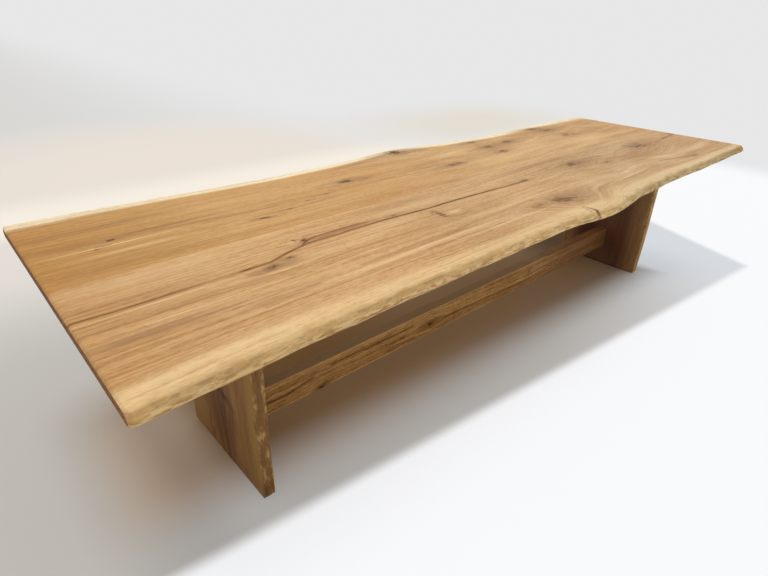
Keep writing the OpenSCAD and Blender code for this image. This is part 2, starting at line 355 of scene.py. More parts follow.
def loft(name, rings):
    """A closed mesh skinned over rings of points, given as sections by points by 3."""
    sections, points = rings.shape[:2]
    index = np.arange(sections * points).reshape(sections, points)
    following = np.roll(index, -1, axis=1)
    quads = np.stack([index[:-1], following[:-1], following[1:], index[1:]], axis=-1).reshape(-1, 4)
    faces = quads.tolist() + [index[0].tolist()[::-1], index[-1].tolist()]
    mesh = bpy.data.meshes.new(name)
    mesh.from_pydata(rings.reshape(-1, 3).tolist(), [], faces)
    work = bmesh.new()
    work.from_mesh(mesh)
    bmesh.ops.recalc_face_normals(work, faces=work.faces)
    work.to_mesh(mesh)
    work.free()
    mesh.polygons.foreach_set("use_smooth", [True] * len(mesh.polygons))
    mesh.set_sharp_from_angle(angle=SHARP_ANGLE)
    piece = bpy.data.objects.new(name, mesh)
    bpy.context.scene.collection.objects.link(piece)
    return piece


# Grain, knots and cracks, carried to the materials as values on the points


def waves(along, across, sizes, seed):
    """Waves of the grain from -0.5 to 0.5, by their length and width."""
    return lattice_noise(along / sizes[0], across / sizes[1], seed) - 0.5


def swell(along, across, place, height, reach_along, reach_across):
    """A soft swell of height 1 round a place."""
    return np.exp(-(((along - place) / reach_along) ** 2) - ((across - height) / reach_across) ** 2)


def bent_grain(along, across, knots, swerves):
    """The place across the grain, with the grain led round the knots and aside at the swerves."""
    bent = across.copy()
    for *spot, swing in swerves:
        bent += swing * swell(along, across, *spot)
    for place, height, half_long, half_wide, _, strength in knots:
        reach_along = KNOT_REACH_ALONG[0] * half_long + KNOT_REACH_ALONG[1]
        reach_across = KNOT_REACH_ACROSS[0] * half_wide + KNOT_REACH_ACROSS[1]
        pull = strength * swell(along, across, place, height, reach_along, reach_across)
        bent -= KNOT_PULL * pull * (across - height)
    return bent


def nearest_mark(along, across, marks):
    """Place inside the nearest knot or stain, in its half sizes, and its strength."""
    best = np.full(along.shape, np.inf)
    found = np.zeros(along.shape + (3,))
    found[..., 0] = FAR_MARK
    for place, height, half_long, half_wide, turn, strength in marks:
        c = math.cos(math.radians(turn))
        s = math.sin(math.radians(turn))
        u = ((along - place) * c + (across - height) * s) / half_long
        v = ((across - height) * c - (along - place) * s) / half_wide
        reach = np.hypot(u, v)
        nearer = reach < best
        best = np.where(nearer, reach, best)
        found[nearer] = np.stack([u, v, np.full(u.shape, strength)], axis=-1)[nearer]
    return found


def crack_offset(along, across, cracks):
    """Distance across the grain from the nearest crack, and its half width, negative where it has ended."""
    offset = np.full(along.shape, FAR_CRACK)
    width = np.full(along.shape, NO_CRACK)
    for places, heights, widths in cracks:
        inside = (along >= places[0]) & (along <= places[-1])
        here = across - np.interp(along, places, heights)
        nearer = inside & (np.abs(here) < np.abs(offset))
        offset = np.where(nearer, here, offset)
        width = np.where(nearer, np.interp(along, places, widths), width)
    return offset, width


def marks(knots, stains, streaks, cracks=(), checks=(), swerves=()):
    """What marks the wood of one plank."""
    return {
        "knots": knots, "stains": stains, "streaks": streaks,
        "cracks": cracks, "checks": checks, "swerves": swerves,
    }


def set_values(piece, along, across, depth, marked, sap_share, wane):
    """Stores on every point of a piece what its material reads."""
    crack_at, crack_wide = crack_offset(along, across, marked["cracks"])
    check_at, check_wide = crack_offset(along, across, marked["checks"])
    bent = bent_grain(along, across, marked["knots"], marked["swerves"])
    values = {
        "grain": np.stack([along, bent, depth], axis=-1),
        "knot": nearest_mark(along, across, marked["knots"]),
        "stain": nearest_mark(along, across, marked["stains"]),
        # On the legs and the stretcher the streaks also carry painted shade and painted highlights
        "streak": nearest_mark(along, across, marked["streaks"]),
        "crack": np.stack([crack_at, crack_wide, sap_share], axis=-1),
        "check": np.stack([check_at, check_wide, wane], axis=-1),
    }
    for name, value in values.items():
        layer = piece.data.attributes.new(name, "FLOAT_VECTOR", "POINT")
        layer.data.foreach_set("vector", value.reshape(-1).astype(np.float32))


# Pieces


def corner_depth(x, low, high):
    """How far the corners at both ends of a plank are rounded back at each place along it."""
    inset = np.minimum(x - low, high - x).clip(0, CORNER_ROUND)
    return CORNER_ROUND - np.sqrt(CORNER_ROUND**2 - (CORNER_ROUND - inset) ** 2)


def top_outline(node, side, x, wane_z):
    """Y of a top plank's live edge by place and height, and of its glued edge by place."""
    low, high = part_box(node)
    tree = solid_tree(node)
    inside_x = x.clip(low[0] + 2 * END_ROUND, high[0] - 2 * END_ROUND)
    cast_z = wane_z.clip(low[2] + CAST_MARGIN, high[2] - CAST_MARGIN)
    outline = np.array([[surface_y(tree, a, z, side) for z in cast_z] for a in inside_x])
    middle_z = (low[2] + high[2]) / 2
    glue = np.array([surface_y(tree, a, middle_z, -side) for a in inside_x])
    return smooth_along(outline, OUTLINE_SMOOTHING), glue[:, None]


def top_plank(name, node, side, marked, sap, seed):
    """One plank of the top; its live edge faces the front, side -1, or the back, side 1."""
    low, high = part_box(node)
    x, end_depth = rounded_stations(low[0], high[0], TOP_STEP, END_ROUND)
    thickness = high[2] - low[2]
    down = np.linspace(0, 1, TOP_WANE_POINTS)
    wane_z = high[2] - ARRIS_EASE - (thickness - ARRIS_EASE) * down
    outline, glue = top_outline(node, side, x, wane_z)
    relief = hollows(x[:, None], thickness * down[None, :], TOP_WANE_HOLLOWS, seed)
    relief = relief * np.interp(down, *TOP_FULLNESS)
    wane_y = outline - side * (relief + corner_depth(x, low[0], high[0])[:, None])

    top_y = glue + (wane_y[:, :1] - glue) * np.linspace(0, 1, TOP_FACE_POINTS)
    from_arris = np.abs(wane_y[:, :1] - top_y)
    top_z = high[2] - ARRIS_EASE * (1 - from_arris / ARRIS_EASE_REACH).clip(0, 1) ** 2
    under_y = wane_y[:, -1:] + (glue - wane_y[:, -1:]) * np.linspace(0, 1, UNDERSIDE_POINTS)[1:]
    y = np.concatenate([top_y, wane_y[:, 1:], under_y], axis=1)
    side_z = np.broadcast_to(wane_z[1:], wane_y[:, 1:].shape)
    z = np.concatenate([top_z, side_z, np.full(under_y.shape, low[2])], axis=1)
    z = z.clip((low[2] + UNDER_SHARE * end_depth)[:, None], (high[2] - end_depth)[:, None])
    x = np.broadcast_to(x[:, None], y.shape)
    piece = loft(name, np.stack([x, y, z], axis=-1))

    on_wane = slice(TOP_FACE_POINTS, TOP_FACE_POINTS + TOP_WANE_POINTS - 1)
    wane = np.zeros(y.shape)
    wane[:, on_wane] = np.interp(down[1:], *TOP_WANE_ROW)
    edge = outline[:, :1]
    edge_distance = np.abs(edge - y)
    edge_distance[:, on_wane] = 0
    wandering = np.interp(x, *TOP_WANDER) * waves(x, y, TOP_WAVES, seed + TOP_WAVE_SEED)
    following = (edge - edge.mean()) * np.exp(-((edge_distance / EDGE_FOLLOWING) ** 2))
    sap_share = edge_distance / np.interp(x, *sap)
    set_values(piece, x, y + wandering - following, z, marked, sap_share, wane)
    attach(piece, "root")
    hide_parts(node)
    return piece


def leg_edges(node, z, foot_depth, through, seed):
    """Y of a leg's front and back live edges, by height and by place through the plank."""
    low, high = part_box(node)
    tree = solid_tree(node)
    thickness = high[0] - low[0]
    cast_x = (low[0] + thickness * through).clip(low[0] + CAST_MARGIN, high[0] - CAST_MARGIN)
    cast_z = z.clip(low[2] + CAST_MARGIN, high[2] - CAST_MARGIN)
    fullness = np.interp(through, *LEG_FULLNESS)
    edges = []
    for side in (-1, 1):
        outline = np.array([[surface_y(tree, a, b, side) for a in cast_x] for b in cast_z])
        relief = hollows(z[:, None], thickness * through[None, :], LEG_WANE_HOLLOWS, seed + side) * fullness
        edges.append(smooth_along(outline, LEG_SMOOTHING) - side * (relief + foot_depth[:, None]))
    return edges


def leg_plank(name, node, marked, seed):
    """A leg plank on end, with both long edges live."""
    low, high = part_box(node)
    z, foot_depth = rounded_stations(low[2], high[2] + FOOT_ROUND, LEG_STEP, FOOT_ROUND)
    foot_depth = foot_depth[z <= high[2]]
    z = z[z <= high[2]]
    z[-1] = high[2]
    through = np.linspace(0, 1, LEG_WANE_POINTS)
    wane_x = low[0] + (high[0] - low[0]) * through
    front, back = leg_edges(node, z, foot_depth, through, seed)

    across = np.linspace(0, 1, LEG_FACE_POINTS)[1:-1]
    right_y = front[:, -1:] + (back[:, -1:] - front[:, -1:]) * across
    left_y = back[:, :1] + (front[:, :1] - back[:, :1]) * across
    y = np.concatenate([front, right_y, back[:, ::-1], left_y], axis=1)
    face = np.ones(across.size)
    x = np.concatenate([wane_x, high[0] * face, wane_x[::-1], low[0] * face])
    x = np.clip(x, (low[0] + foot_depth)[:, None], (high[0] - foot_depth)[:, None])
    z = np.broadcast_to(z[:, None], y.shape)
    piece = loft(name, np.stack([x, y, z], axis=-1))

    wane_row = np.interp(through, *LEG_WANE_ROW)
    wane = np.broadcast_to(np.concatenate([wane_row, 0 * face, wane_row, 0 * face]), y.shape)
    edge_distance = np.minimum(y - front.min(axis=1)[:, None], back.max(axis=1)[:, None] - y)
    wandering = LEG_WANDER * waves(z, y, LEG_WAVES, seed + LEG_WAVE_SEED)
    set_values(piece, z, y + wandering, x, marked, edge_distance / LEG_SAP, wane)
    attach(piece, "root")
    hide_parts(node)
    return piece


def eased_ring(low, high):
    """Section of the stretcher as points of Y and Z, with eased arrises."""
    turns = np.linspace(0, math.pi / 2, ARRIS_POINTS)
    r = STRETCHER_ROUND
    corners = (
        (low[1] + r, low[2] + r, math.pi),
        (high[1] - r, low[2] + r, 1.5 * math.pi),
        (high[1] - r, high[2] - r, 0.0),
        (low[1] + r, high[2] - r, 0.5 * math.pi),
    )
    counts = (STRETCHER_EDGE_POINTS, STRETCHER_FACE_POINTS, STRETCHER_EDGE_POINTS, STRETCHER_FACE_POINTS)
    arcs = [
        np.stack([cy + r * np.cos(start + turns), cz + r * np.sin(start + turns)], axis=-1)
        for cy, cz, start in corners
    ]
    ring = []
    for number, arc in enumerate(arcs):
        ring.extend(arc)
        following = arcs[(number + 1) % len(arcs)][0]
        share = np.linspace(0, 1, counts[number] + 2)[1:-1, None]
        ring.extend(arc[-1] + (following - arc[-1]) * share)
    return np.array(ring)


def stretcher_plank(name, node, marked):
    """The stretcher plank on edge between the legs."""
    low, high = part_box(node)
    x = np.linspace(low[0], high[0], int((high[0] - low[0]) / STRETCHER_STEP))
    ring = eased_ring(low, high)
    rings = np.empty((x.size, len(ring), 3))
    rings[..., 0] = x[:, None]
    rings[..., 1:] = ring
    piece = loft(name, rings)
    along, depth, across = np.moveaxis(rings, -1, 0)
    wandering = STRETCHER_WANDER * waves(along, across, STRETCHER_WAVES, STRETCHER_SEED)
    nothing = np.zeros(along.shape)
    set_values(piece, along, across + wandering, depth, marked, nothing + NO_SAP, nothing)
    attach(piece, "root")
    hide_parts(node)
    return piece


# Materials


def srgb(red, green, blue):
    """A colour given in 0 to 255, as the linear values that a shader takes."""
    parts = [c / 255 for c in (red, green, blue)]
    return tuple(p / 12.92 if p <= 0.04045 else ((p + 0.055) / 1.055) ** 2.4 for p in parts) + (1.0,)


class Net:
    """Short calls that build the node tree of one material or of the world."""

    def __init__(self, owner):
        owner.use_nodes = True
        self.tree = owner.node_tree
        self.tree.nodes.clear()

    def add(self, kind, inputs=None, **settings):
        node = self.tree.nodes.new("ShaderNode" + kind)
        for key, value in settings.items():
            setattr(node, key, value)
        for key, value in (inputs or {}).items():
            if isinstance(value, bpy.types.NodeSocket):
                self.tree.links.new(value, node.inputs[key])
            else:
                node.inputs[key].default_value = value
        return node

    def math(self, operation, a, b=0.0, c=0.0, clamp=False):
        return self.add("Math", {0: a, 1: b, 2: c}, operation=operation, use_clamp=clamp).outputs[0]

    def both(self, a, b):
        return self.math("MULTIPLY", a, b)

    def sway(self, noise, share, base):
        """A base value moved up and down by a share of a noise."""
        return self.math("MULTIPLY_ADD", self.math("SUBTRACT", noise, 0.5), share, base)

    def vector(self, operation, a, b):
        return self.add("VectorMath", {0: a, 1: b}, operation=operation).outputs[0]

    def dot(self, a, b):
        return self.add("VectorMath", {0: a, 1: b}, operation="DOT_PRODUCT").outputs["Value"]

    def length(self, a):
        return self.add("VectorMath", {0: a}, operation="LENGTH").outputs["Value"]

    def split(self, a):
        return self.add("SeparateXYZ", {0: a}).outputs

    def value(self, name):
        return self.add("Attribute", attribute_name=name).outputs["Vector"]

    def noise(self, place, detail=2.0, roughness=0.5):
        return self.add(
            "TexNoise", {"Vector": place, "Scale": 1.0, "Detail": detail, "Roughness": roughness}
        ).outputs[0]

    def fade(self, value, start, end, low=0.0, high=1.0):
        """A value turned into low at start, high at end, and a smooth rise or fall between."""
        return self.add(
            "MapRange",
            {"Value": value, "From Min": start, "From Max": end, "To Min": low, "To Max": high},
            interpolation_type="SMOOTHSTEP",
        ).outputs[0]

    def ramp(self, value, *stops):
        node = self.add("ValToRGB", {0: value})
        points = node.color_ramp.elements
        while len(points) < len(stops):
            points.new(1.0)
        for point, (place, colour) in zip(points, stops):
            point.position = place
            point.color = colour
        return node.outputs[0]

    def mix(self, share, a, b, blend="MIX"):
        return self.add("Mix", {0: share, 6: a, 7: b}, data_type="RGBA", blend_type=blend).outputs[2]

    def emission(self, colour):
        return self.add("Emission", {"Color": colour, "Strength": 1.0}).outputs[0]

    def mix_shaders(self, share, a, b):
        return self.add("MixShader", {0: share, 1: a, 2: b}).outputs[0]


def stops(places, *colours):
    """Places on a ramp with their colours, given in 0 to 255."""
    return tuple((place, srgb(*colour)) for place, colour in zip(places, colours))


# Length over which the tint of the top planks runs
TOP_LENGTH = 3.26
# Distance between growth rings at the surface, how much they wander, and how dark they are
RING_SPACING = 0.015
RING_WARP = 9.0
RING_DEPTH = 0.20

# Colours of a knot's halo, rings and core
TOP_KNOT = (srgb(168, 130, 90), srgb(142, 104, 68), srgb(88, 48, 8))
LEG_KNOT = (srgb(92, 60, 34), srgb(70, 42, 22), srgb(40, 22, 6))
STRETCHER_KNOT = (srgb(150, 106, 56), srgb(116, 76, 38), srgb(60, 34, 10))
PORE = srgb(132, 90, 50)
CRACK_DARK = srgb(62, 33, 6)
CRACK_SIDE = srgb(126, 78, 28)
# The low stretcher's upper face, greyed as painted shade under the tabletop
UPPER_FACE_SHADE = srgb(158, 134, 98)
# Specular level of the oiled surface
OIL_GLOSS = 0.18

# Tints along the table, from its left end, 0, to its right end, 1
PLAIN_TINT = ((0.0, (1, 1, 1, 1)), (1.0, (1, 1, 1, 1)))
FRONT_TINT = (
    (0.0, (0.82, 0.74, 0.60, 1)), (0.10, (0.94, 0.93, 0.86, 1)), (0.19, (1.0, 1.0, 0.94, 1)),
    (0.25, (0.98, 0.96, 0.90, 1)), (0.34, (0.88, 0.88, 0.84, 1)), (0.47, (0.95, 0.98, 1.0, 1)),
    (0.66, (0.84, 0.88, 0.92, 1)), (1.0, (0.84, 0.85, 0.86, 1)),
)
FRONT_WANE_TINT = (
    (0.10, (0.84, 0.82, 0.80, 1)), (0.29, (0.84, 0.82, 0.82, 1)), (0.36, (0.95, 0.95, 0.98, 1)),
    (0.50, (0.96, 1.0, 1.06, 1)), (0.60, (0.76, 0.82, 0.90, 1)), (0.84, (0.74, 0.80, 0.88, 1)),
    (0.94, (0.60, 0.62, 0.62, 1)),
)
FRONT_SAP_TINT = (
    (0.10, (1.03, 1.04, 1.05, 1)), (0.24, (1, 1, 1, 1)), (0.36, (0.93, 0.93, 0.95, 1)),
    (0.50, (0.95, 0.97, 1.0, 1)), (0.60, (0.90, 0.95, 1.04, 1)), (1.0, (0.86, 0.91, 1.02, 1)),
)
BACK_TINT = (
    (0.0, (0.74, 0.58, 0.31, 1)), (0.10, (0.83, 0.72, 0.47, 1)), (0.17, (0.93, 0.84, 0.64, 1)),
    (0.38, (0.91, 0.81, 0.62, 1)), (0.47, (0.89, 0.82, 0.69, 1)), (0.56, (0.99, 0.97, 0.86, 1)),
    (0.70, (1.0, 1.0, 0.94, 1)), (1.0, (0.91, 0.86, 0.74, 1)),
)

# Levels of the figure and of the wane that the colours below belong to
WOOD_STOPS = (0.08, 0.36, 0.55, 0.74, 0.95)
TOP_WANE_STOPS = (0.26, 0.40, 0.52, 0.68)
LEG_WANE_STOPS = (0.34, 0.46, 0.62, 0.74)
RIGHT_LEG_WANE_STOPS = (0.34, 0.46, 0.60, 0.72)
# Length along the edge and height of the wane's patches, flecks and specks
TOP_WANE_GRAIN = ((0.085, 0.016), (0.042, 0.0075), (0.008, 0.010))
LEG_WANE_GRAIN = ((0.070, 0.018), (0.024, 0.009), (0.010, 0.006))

# Looks of the planks. "figure" holds the shares of tones, bands, lines, threads, hairs and flecks,
# "blotch" the shares of blotches at the left and the right, "calm" what is left of the lines at the right.
PLAIN_LOOK = {
    "wane": stops(TOP_WANE_STOPS, (150, 108, 62), (192, 150, 92), (210, 172, 114), (228, 194, 138)),
    "wane_grain": TOP_WANE_GRAIN,
    "tint": PLAIN_TINT,
    "wane_tint": PLAIN_TINT,
    "sap_tint": PLAIN_TINT,
    "sap_fade": (1.3, 0.7),
    "calm": 1.0,
    "crumb": 0.14,
    "upper_shade": 0.0,
}
FRONT_LOOK = dict(
    PLAIN_LOOK,
    wood=stops(
        WOOD_STOPS, (150, 100, 56), (192, 146, 96), (212, 168, 118), (226, 184, 136), (244, 212, 166)
    ),
    knot=TOP_KNOT,
    sap=srgb(234, 200, 146),
    stain=srgb(136, 98, 66),
    light=srgb(240, 208, 158),
    tint=FRONT_TINT,
    wane_tint=FRONT_WANE_TINT,
    sap_tint=FRONT_SAP_TINT,
    figure=(0.45, 0.22, 0.50, 0.34, 0.34, 0.46),
    blotch=(0.08, 0.50),
    calm=0.72,
)
BACK_LOOK = dict(
    PLAIN_LOOK,
    wood=stops(
        WOOD_STOPS, (150, 106, 62), (192, 150, 102), (210, 170, 122), (223, 186, 140), (240, 210, 166)
    ),
    knot=TOP_KNOT,
    sap=srgb(255, 238, 200),
    stain=srgb(136, 94, 54),
    light=srgb(238, 206, 152),
    wane=stops(TOP_WANE_STOPS, (200, 164, 112), (236, 206, 158), (252, 230, 190), (255, 240, 206)),
    tint=BACK_TINT,
    figure=(0.50, 0.32, 0.40, 0.26, 0.32, 0.42),
    blotch=(0.10, 0.42),
    calm=0.72,
)
# The legs' oak: the top's oak painted much darker, as painted shade under the table
LEG_SHADED_LOOK = dict(
    PLAIN_LOOK,
    wood=stops(WOOD_STOPS, (86, 50, 24), (122, 81, 43), (137, 96, 53), (151, 110, 62), (176, 134, 80)),
    knot=LEG_KNOT,
    sap=srgb(156, 120, 62),
    stain=srgb(86, 50, 28),
    light=srgb(190, 152, 96),
    wane=stops(LEG_WANE_STOPS, (78, 48, 22), (120, 84, 44), (142, 104, 58), (212, 174, 114)),
    wane_grain=LEG_WANE_GRAIN,
    figure=(0.70, 0.45, 0.45, 0.10, 0.35, 0.30),
    blotch=(0.25, 0.25),
    crumb=0.10,
    sap_fade=(1.7, 0.0),
)
# The right leg: deeper painted shade on its faces, and a lighter wane and sapwood as painted light on its
# front edge
RIGHT_LEG_SHADE_AND_LIGHT_LOOK = dict(
    LEG_SHADED_LOOK,
    wood=stops(WOOD_STOPS, (76, 48, 32), (92, 60, 41), (100, 67, 46), (108, 74, 50), (126, 88, 58)),
    sap=srgb(186, 146, 94),
    wane=stops(RIGHT_LEG_WANE_STOPS, (92, 66, 40), (156, 122, 78), (186, 148, 98), (226, 190, 134)),
)
STRETCHER_LOOK = dict(
    PLAIN_LOOK,
    wood=stops(WOOD_STOPS, (116, 72, 32), (156, 111, 60), (176, 131, 74), (192, 148, 88), (214, 174, 114)),
    knot=STRETCHER_KNOT,
    sap=srgb(190, 150, 90),
    stain=srgb(108, 66, 36),
    light=srgb(212, 172, 112),
    figure=(0.50, 0.60, 0.80, 0.55, 0.80, 0.80),
    blotch=(0.30, 0.30),
    upper_shade=0.9,
)

# A length over which a noise hardly changes
NO_CHANGE = 20.0
# Marks laid over the wood, and how much the grain breaks up their borders
MARK_BREAKUP = (("streak", 0.9), ("stain", 1.2))
# What keeps a place inside a mark and drops the mark's strength, and the same with the mark drawn out
IN_MARK = (1, 1, 0)
DRAWN_OUT = (0.50, 1, 0)
# Noises of the knots: scales in a knot's half sizes and in the grain, and detail
KNOT_STROKE = ((0.8, 2.4, 0.0), (5.0, 9.0, 0.0), 3.0)
KNOT_THIN = ((1.0, 4.4, 0.0), (7.0, 13.0, 0.0), 2.0)
# Rings of a knot in each of its half sizes, in radians
KNOT_RINGS = 6.5
# Reach of the brown border of a crack and of a check, its share, and how far both wander
CRACK_SPREAD = 0.012
CHECK_SPREAD = 0.008
CRACK_SIDE_SHARE = 0.70
CRACK_WANDER = 0.006
PER_MILLIMETRE = 1000.0
# Colours of the sawn ends
END_GRAIN = stops((0.3, 0.7), (100, 64, 34), (160, 112, 68))
# Heights of the grain, the pores and the wane, and their strength
LINE_HEIGHT = 0.00012
PORE_DEPTH = 0.00012
WANE_HEIGHT = 0.0012
BUMP_STRENGTH = 0.7

ALONG_X = (1.0, 0.0, 0.0)
UP = (0.0, 0.0, 1.0)


class Wood:
    """The stored values and the noises that the parts of one plank's material share."""

    def __init__(self, net, look):
        self.net = net
        self.look = look
        self.grain = net.value("grain")
        self.along, self.across, _ = net.split(self.grain)
        self.crack_at, self.crack_wide, self.sap_share = net.split(net.value("crack"))
        self.check_at, self.check_wide, self.wane = net.split(net.value("check"))
        self.share_along = net.math("MULTIPLY_ADD", self.along, 1 / TOP_LENGTH, 0.5)
        self.planed_noises()
        self.wane_noises()

    def stretched(self, along, across, depth, detail=2.0):
        """Noise of the given sizes along the grain, across it and in depth."""
        sizes = (1 / along, 1 / across, 1 / depth)
        return self.net.noise(self.net.vector("MULTIPLY", self.grain, sizes), detail)

    def planed_noises(self):
        self.tone = self.stretched(1.6, 0.10, 0.25)
        self.band = self.stretched(1.1, 0.028, 0.06)
        self.line = self.stretched(0.65, 0.011, 0.03)
        self.thread = self.stretched(0.50, 0.0042, 0.02)
        self.hair = self.stretched(0.065, 0.0075, 0.02)
        self.fleck = self.stretched(0.016, 0.0042, 0.010)
        self.pore = self.stretched(0.022, 0.0012, 0.006, 1.0)
        self.speck = self.stretched(0.007, 0.006, 0.006)
        self.swirl = self.stretched(0.040, 0.015, 0.03)
        self.warp = self.stretched(1.7, 0.16, 0.2, 1.0)
        self.blotch = self.stretched(0.30, 0.07, 0.2)
        self.opening = self.stretched(0.14, 0.30, 0.30)
        self.end = self.stretched(1.0, 0.008, 0.005, 3.0)

    def wane_noises(self):
        (patch_long, patch_high), (fleck_long, fleck_high), (speck_long, speck_high) = self.look["wane_grain"]
        self.mottle = self.stretched(patch_long, NO_CHANGE, patch_high)
        self.fibre = self.stretched(fleck_long, NO_CHANGE, fleck_high, 3.0)
        self.crumb = self.stretched(speck_long, NO_CHANGE, speck_high)
        self.patch = self.stretched(2.2 * patch_long, NO_CHANGE, 2.0 * patch_high)
        self.split = self.stretched(0.013, NO_CHANGE, 0.030)


def wood_figure(wood):
    """Light and dark of the grain, about 0 to 1."""
    net = wood.net
    rings = net.math("MULTIPLY_ADD", wood.warp, RING_WARP, net.math("DIVIDE", wood.across, RING_SPACING))
    ring = net.both(net.fade(net.math("FRACT", rings), 0.0, 0.30, 1.0, 0.0), net.fade(wood.band, 0.42, 0.62))
    figure = net.math("MULTIPLY_ADD", ring, -RING_DEPTH, 0.55)
    tone, band, line, thread, hair, fleck = wood.look["figure"]
    for noise, share in ((wood.tone, tone), (wood.band, band), (wood.fleck, fleck)):
        figure = net.sway(noise, share, figure)
    calm = net.fade(wood.along, -0.3, 0.9, 1.0, wood.look["calm"])
    for noise, share in ((wood.line, line), (wood.thread, thread), (wood.hair, hair)):
        figure = net.sway(noise, net.both(calm, share), figure)
    return net.sway(wood.blotch, net.fade(wood.along, -1.0, 0.5, *wood.look["blotch"]), figure)


def planed_colour(wood, figure):
    """Colour of the planed faces: heartwood, and sapwood along the live edges."""
    net, look = wood.net, wood.look
    tint = net.ramp(wood.share_along, *look["tint"])
    heart = net.mix(1.0, net.ramp(figure, *look["wood"]), tint, "MULTIPLY")
    sapwood = net.mix(1.0, look["sap"], net.ramp(wood.share_along, *look["sap_tint"]), "MULTIPLY")
    sapwood = net.mix(net.fade(figure, 0.75, 0.2, 0.0, 0.55), sapwood, heart)
    sap = net.fade(net.sway(wood.line, 0.9, wood.sap_share), *look["sap_fade"])
    colour = net.mix(net.both(sap, 0.92), heart, sapwood)
    return net.mix(net.fade(wood.pore, 0.58, 0.74, 0.0, 0.25), colour, PORE)


def wane_stains(wood):
    """Shares of the dark patches, of the strokes along the ridge and of the splits in the wane."""
    net = wood.net
    patch = net.fade(wood.patch, 0.58, 0.74, 0.0, 0.45)
    ridge = net.both(net.fade(wood.wane, 0.55, 0.63), net.fade(wood.wane, 0.78, 0.68))
    ridge = net.both(ridge, net.fade(wood.fibre, 0.46, 0.60, 0.0, 0.55))
    split = net.both(net.fade(wood.split, 0.62, 0.70), net.fade(wood.mottle, 0.42, 0.56))
    split = net.both(split, net.fade(wood.wane, 0.60, 0.70, 0.0, 0.55))
    return patch, ridge, split


def with_wane(wood, colour):
    """The colour with the rough wane laid over it along the live edges."""
    net, look = wood.net, wood.look
    low_side = net.fade(wood.wane, 0.62, 0.85)
    torn_share = net.math("MULTIPLY_ADD", low_side, 0.18, 0.13)
    light = net.fade(wood.mottle, 0.2, 0.8, 0.46, 0.68)
    light = net.sway(net.fade(wood.fibre, 0.45, 0.54), torn_share, light)
    light = net.sway(wood.crumb, look["crumb"], light)
    light = net.math("MULTIPLY_ADD", low_side, -0.01, light)
    tint = net.ramp(wood.share_along, *look["wane_tint"])
    bark = net.mix(1.0, net.ramp(light, *look["wane"]), tint, "MULTIPLY")
    for share in wane_stains(wood):
        bark = net.mix(share, bark, look["stain"])
    spill = net.sway(wood.mottle, 0.9, wood.sap_share)
    share = net.math("MAXIMUM", net.fade(wood.wane, 0.1, 0.58), net.fade(spill, 0.25, 0.0, 0.0, 0.7))
    return net.mix(share, colour, bark)


def with_streaks_stains_and_painted_light(wood, colour):
    """The colour with the streaks, some of them painted shade and highlights, then the stains; those of
    negative strength are light.
    """
    net, look = wood.net, wood.look
    for name, breakup in MARK_BREAKUP:
        mark = net.value(name)
        reach = net.sway(wood.line, breakup, net.length(net.vector("MULTIPLY", mark, IN_MARK)))
        shown = net.both(net.fade(reach, 1.25, 0.1), net.split(mark)[2])
        # Dark marks take the stain colour, light ones the light colour; on the legs and stretcher these also
        # paint shade and highlights
        colour = net.mix(net.math("MAXIMUM", shown, 0.0), colour, look["stain"])
        colour = net.mix(net.math("MAXIMUM", net.both(shown, -1.0), 0.0), colour, look["light"])
    return colour


def knot_noise(wood, knot, in_knot, in_grain, detail):
    """Noise laid out by the knots' own sizes, and different in each knot."""
    net = wood.net
    place = net.vector("MULTIPLY", knot, in_knot)
    return net.noise(net.vector("ADD", place, net.vector("MULTIPLY", wood.grain, in_grain)), detail)


def with_knots(wood, colour):
    """The colour with the knots: a halo drawn out along the grain, rings, and a core of thin dark strokes."""
    net = wood.net
    knot = net.value("knot")
    strength = net.split(knot)[2]
    ragged = net.sway(wood.speck, 0.6, net.length(net.vector("MULTIPLY", knot, IN_MARK)))
    ragged = net.sway(wood.swirl, 0.8, ragged)
    ragged = net.sway(knot_noise(wood, knot, *KNOT_STROKE), 2.4, ragged)
    thin = knot_noise(wood, knot, *KNOT_THIN)
    drawn_out = net.sway(wood.hair, 1.6, net.length(net.vector("MULTIPLY", knot, DRAWN_OUT)))
    wave = net.math("SINE", net.both(ragged, KNOT_RINGS))

    halo = net.fade(drawn_out, 2.4, 0.6, 0.0, 0.50)
    ringed = net.both(net.fade(ragged, 1.5, 0.6, 0.0, 0.85), net.fade(wave, -0.4, 0.4, 0.35, 1.0))
    strokes = net.both(net.fade(thin, 0.52, 0.62, 0.0, 0.80), net.fade(ragged, 1.3, 0.5))
    core = net.both(net.fade(ragged, 0.60, 0.20, 0.0, 0.95), net.fade(thin, 0.36, 0.50, 0.40, 1.0))
    halo_colour, ring_colour, core_colour = wood.look["knot"]
    colour = net.mix(net.both(halo, strength), colour, halo_colour)
    colour = net.mix(net.both(ringed, strength), colour, ring_colour)
    dark = net.math("MULTIPLY", net.math("MAXIMUM", strokes, core), strength, clamp=True)
    return net.mix(dark, colour, core_colour)


def with_cracks(wood, colour):
    """The colour with the heart crack and the checks, each a dark opening with a brown border."""
    net = wood.net
    crack = (wood.crack_at, wood.crack_wide, CRACK_SPREAD)
    check = (wood.check_at, wood.check_wide, CHECK_SPREAD)
    for offset, width, spread in (crack, check):
        away = net.math("ABSOLUTE", net.sway(wood.hair, CRACK_WANDER, offset))
        open_here = net.math("MULTIPLY", width, PER_MILLIMETRE, clamp=True)
        beside = net.both(net.fade(away, spread, 0.0, 0.0, CRACK_SIDE_SHARE), open_here)
        colour = net.mix(beside, colour, CRACK_SIDE)
        inside = net.math("SUBTRACT", width, away)
        inside = net.math("MULTIPLY_ADD", inside, PER_MILLIMETRE, 0.5, clamp=True)
        inside = net.both(inside, net.fade(wood.hair, 0.35, 0.65, 1.0, 0.55))
        inside = net.both(inside, net.fade(wood.opening, 0.38, 0.60, 0.45, 1.0))
        colour = net.mix(inside, colour, CRACK_DARK)
    return colour


